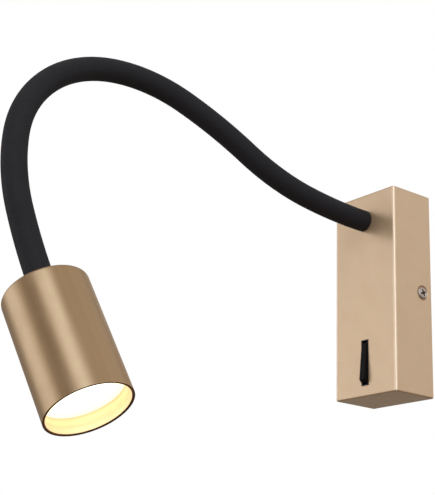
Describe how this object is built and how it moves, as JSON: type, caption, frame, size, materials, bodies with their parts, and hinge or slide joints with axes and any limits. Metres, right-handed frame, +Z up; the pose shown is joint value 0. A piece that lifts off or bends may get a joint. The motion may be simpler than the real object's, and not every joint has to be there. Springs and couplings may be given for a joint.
{
  "type": "wall reading lamp",
  "caption": "Bedside wall reading lamp with a bendable sleeved hose arm, a cylindrical LED head with a recessed diffuser, and a rocker switch on a slim wall box.",
  "frame": {"origin": "midway between the two wall screw slots, on the wall face of the wall plate", "axes": "+X along the wall, +Y into the wall, +Z up"},
  "size_m": [0.1189, 0.3223, 0.2451],
  "materials": {
    "cover_paint": "satin champagne powder paint",
    "plate_steel": "zinc plated sheet",
    "screw_steel": "nickel plated, domed",
    "switch_black": "semi-gloss moulded",
    "housing_black": "matt moulded",
    "sleeve_silicone": "smooth matt silicone",
    "hose_steel": "wound steel",
    "lead_jacket": "soft jacket",
    "head_brass": "satin brushed and lacquered",
    "fitting_brass": "turned",
    "nut_steel": "nickel plated",
    "sink_aluminium": "bare extruded",
    "board_white": "white solder mask",
    "led_phosphor": "silicone phosphor",
    "reflector_metal": "metallised",
    "diffuser_opal": "opal",
    "ring_brass": "satin",
    "grommet_rubber": "matt",
    "driver_plastic": "fine texture",
    "block_nylon": "translucent nylon",
    "wire_blue": "smooth",
    "wire_brown": "smooth",
    "wire_green": "smooth",
    "contact_brass": "tinned"
  },
  "bodies": {
    "wall_body": {"wall_plate": "plate_steel", "cable_grommet": "grommet_rubber", "terminal_block": "block_nylon", "terminal_screws": "screw_steel", "earth_screw": "screw_steel", "driver": "driver_plastic", "driver_screws": "screw_steel", "cover": "cover_paint", "cover_screws": "screw_steel", "switch_housing": "housing_black", "switch_blades": "contact_brass", "neutral_wire": "wire_blue", "earth_wire": "wire_green", "live_wire": "wire_brown", "switched_wire": "wire_brown", "output_lead": "lead_jacket", "wall_fitting": "fitting_brass", "wall_washer": "nut_steel", "wall_nut": "nut_steel", "hose_0": "hose_steel", "sleeve_1": "sleeve_silicone", "lead_1": "lead_jacket"},
    "switch_paddle": {"rocker": "switch_black"},
    "link_1": {"hose_1": "hose_steel", "sleeve_2": "sleeve_silicone", "lead_2": "lead_jacket"},
    "link_2": {"hose_2": "hose_steel", "sleeve_3": "sleeve_silicone", "lead_3": "lead_jacket"},
    "link_3": {"hose_3": "hose_steel", "sleeve_4": "sleeve_silicone", "lead_4": "lead_jacket"},
    "link_4": {"hose_4": "hose_steel", "sleeve_5": "sleeve_silicone", "lead_5": "lead_jacket"},
    "link_5": {"hose_5": "hose_steel", "sleeve_6": "sleeve_silicone", "lead_6": "lead_jacket"},
    "link_6": {"hose_6": "hose_steel", "sleeve_7": "sleeve_silicone", "lead_7": "lead_jacket"},
    "link_7": {"hose_7": "hose_steel", "sleeve_8": "sleeve_silicone", "lead_8": "lead_jacket"},
    "lamp_head": {"hose_8": "hose_steel", "head_fitting": "fitting_brass", "head_washer": "nut_steel", "head_nut": "nut_steel", "head_shell": "head_brass", "heat_sink": "sink_aluminium", "led_board": "board_white", "led_chip": "led_phosphor", "board_screws": "screw_steel", "reflector": "reflector_metal", "diffuser": "diffuser_opal", "retaining_ring": "ring_brass", "head_lead": "lead_jacket", "led_wires": "wire_brown"}
  },
  "joints": [
    {"name": "rocker_press", "type": "hinge", "parent": "wall_body", "child": "switch_paddle", "pos_m": [0, -0.031, -0.0475], "axis": [1, 0, 0], "range_deg": [0, 11]},
    {"name": "arm_swing_1", "type": "hinge", "parent": "wall_body", "child": "link_1", "pos_m": [-0.00023, -0.06121, 0.05214], "axis": [0.0008, 0.0872, 0.9962], "range_deg": [-22.8, 25.5], "deforming": ["sleeve_1", "lead_1"]},
    {"name": "arm_nod_2", "type": "hinge", "parent": "link_1", "child": "link_2", "pos_m": [-0.00227, -0.11249, 0.06241], "axis": [0.9976, -0.0683, 0.0121], "range_deg": [-11.3, 38.6], "deforming": ["sleeve_2", "lead_2"]},
    {"name": "arm_swing_3", "type": "hinge", "parent": "link_2", "child": "link_3", "pos_m": [-0.00735, -0.15901, 0.08607], "axis": [-0.0192, -0.4418, -0.8969], "range_deg": [-25.8, 23.1], "deforming": ["sleeve_3", "lead_3"]},
    {"name": "arm_nod_4", "type": "hinge", "parent": "link_3", "child": "link_4", "pos_m": [-0.01339, -0.20797, 0.10316], "axis": [0.9977, -0.0636, 0.0254], "range_deg": [-45.2, 3.8], "deforming": ["sleeve_4", "lead_4"]},
    {"name": "arm_swing_5", "type": "hinge", "parent": "link_4", "child": "link_5", "pos_m": [-0.01281, -0.25901, 0.09473], "axis": [-0.0101, -0.4443, 0.8958], "range_deg": [-14.8, 3.5], "deforming": ["sleeve_5", "lead_5"]},
    {"name": "arm_nod_6", "type": "hinge", "parent": "link_5", "child": "link_6", "pos_m": [-0.00434, -0.29592, 0.05954], "axis": [0.9702, 0.1858, 0.1553], "range_deg": [-45.6, 2.9], "deforming": ["sleeve_6", "lead_6"]},
    {"name": "arm_swing_7", "type": "hinge", "parent": "link_6", "child": "link_7", "pos_m": [0.0099, -0.30826, 0.01104], "axis": [-0.1993, 0.9742, -0.1064], "range_deg": [-17.3, 26.7], "deforming": ["sleeve_7", "lead_7"]},
    {"name": "arm_nod_8", "type": "hinge", "parent": "link_7", "child": "lamp_head", "pos_m": [0.02754, -0.3037, -0.03809], "axis": [0.8874, 0.2102, 0.4102], "range_deg": [-24.5, 24.5], "deforming": ["sleeve_8", "lead_8"]}
  ]
}
